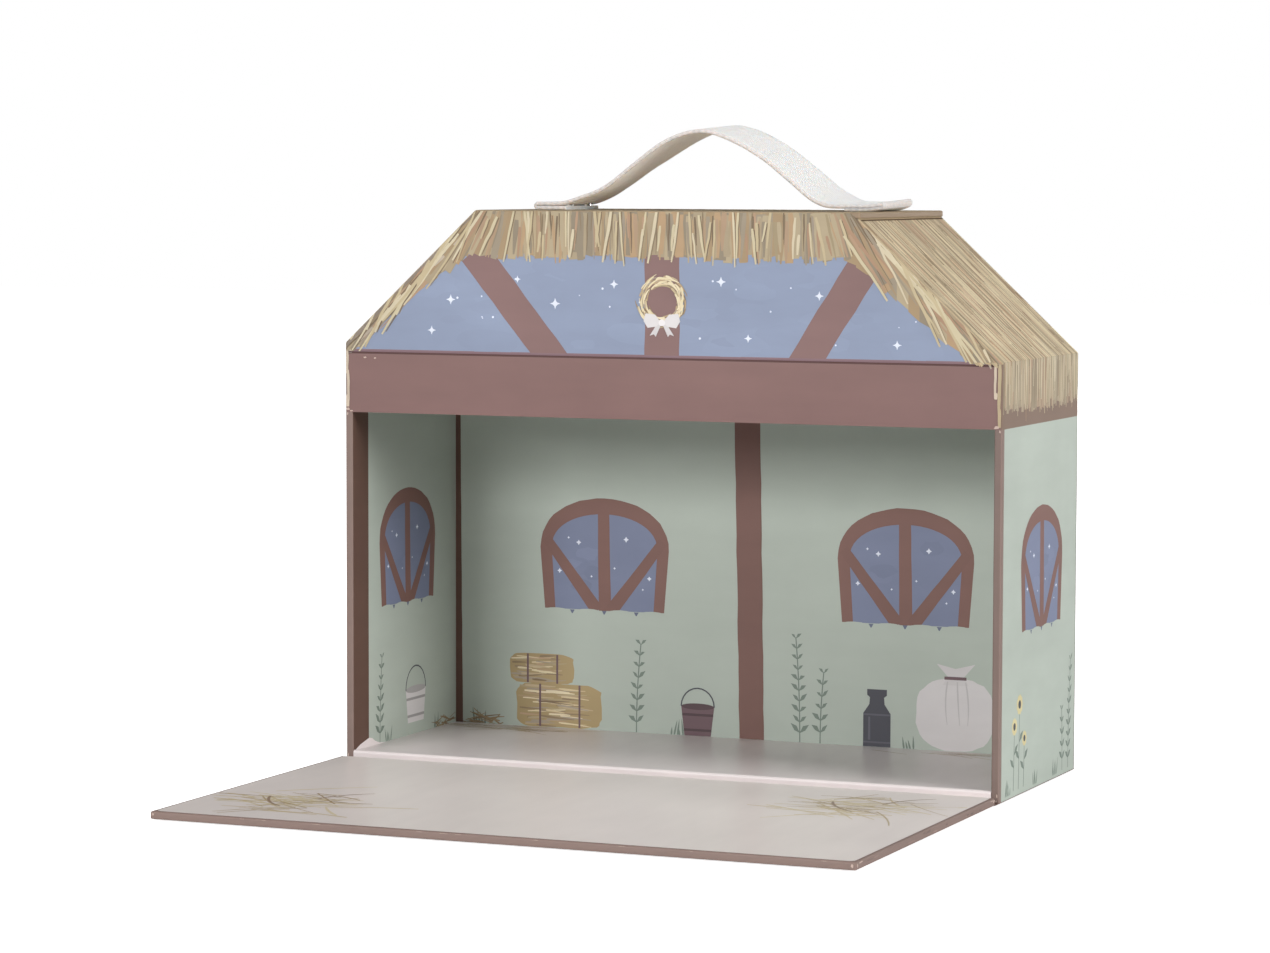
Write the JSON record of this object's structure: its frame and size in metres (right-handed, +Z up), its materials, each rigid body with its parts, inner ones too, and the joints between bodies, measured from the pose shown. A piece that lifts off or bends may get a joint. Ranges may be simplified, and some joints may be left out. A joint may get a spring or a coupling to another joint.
{
  "type": "toy nativity stable",
  "caption": "Barn-shaped toy stable of paper-covered board that opens at the front with a fold-down door and carries by a webbing handle.",
  "frame": {"origin": "centre of the case's underside, on the table; the open door isn't counted", "axes": "+X to the right along the case's front, -Y out of the open front where the door lies, +Z up"},
  "size_m": [0.28, 0.263, 0.2597],
  "materials": {
    "greyboard": "raw grey bookbinding board",
    "side_paper": "matt printed paper, sage green with thatch above the eaves",
    "front_paper": "matt printed paper, brown lintel and night-blue gable under a thatch fringe",
    "thatch_paper": "matt printed paper with drawn straw",
    "brown_paper": "matt printed paper, plain barn brown",
    "room_paper": "matt printed paper, sage green with arched windows",
    "floor_paper": "satin paper, pale warm grey",
    "lining_paper": "matt paper",
    "webbing": "undyed woven cotton webbing",
    "steel": "nickel-plated steel",
    "magnet": "nickel-plated magnet"
  },
  "bodies": {
    "case": {"base_board": "greyboard", "floor_board": "greyboard", "back_board": "greyboard", "left_wall_board": "greyboard", "right_wall_board": "greyboard", "left_roof_board": "greyboard", "right_roof_board": "greyboard", "top_board": "greyboard", "lintel_board": "greyboard", "gable_board": "greyboard", "top_wrap": "thatch_paper", "top_liner": "lining_paper", "left_side_print": "side_paper", "right_side_print": "side_paper", "front_print": "front_paper", "back_print": "side_paper", "base_paper": "brown_paper", "left_edge_paper": "brown_paper", "right_edge_paper": "brown_paper", "left_liner": "room_paper", "right_liner": "room_paper", "back_liner": "room_paper", "gable_liner": "room_paper", "floor_liner": "floor_paper", "lintel_discs": "steel", "hinge_strip": "brown_paper", "hinge_liner": "floor_paper", "handle_strap": "webbing", "handle_rivets": "steel", "handle_backing_plates": "steel"},
    "door": {"door_board": "greyboard", "door_wrap": "brown_paper", "door_liner": "floor_paper", "door_magnets": "magnet"}
  },
  "joints": [
    {"name": "door_hinge", "type": "hinge", "parent": "case", "child": "door", "pos_m": [0, -0.054, 0], "axis": [-1, 0, 0], "range_deg": [0, 90], "deforming": ["hinge_strip", "hinge_liner"]}
  ]
}
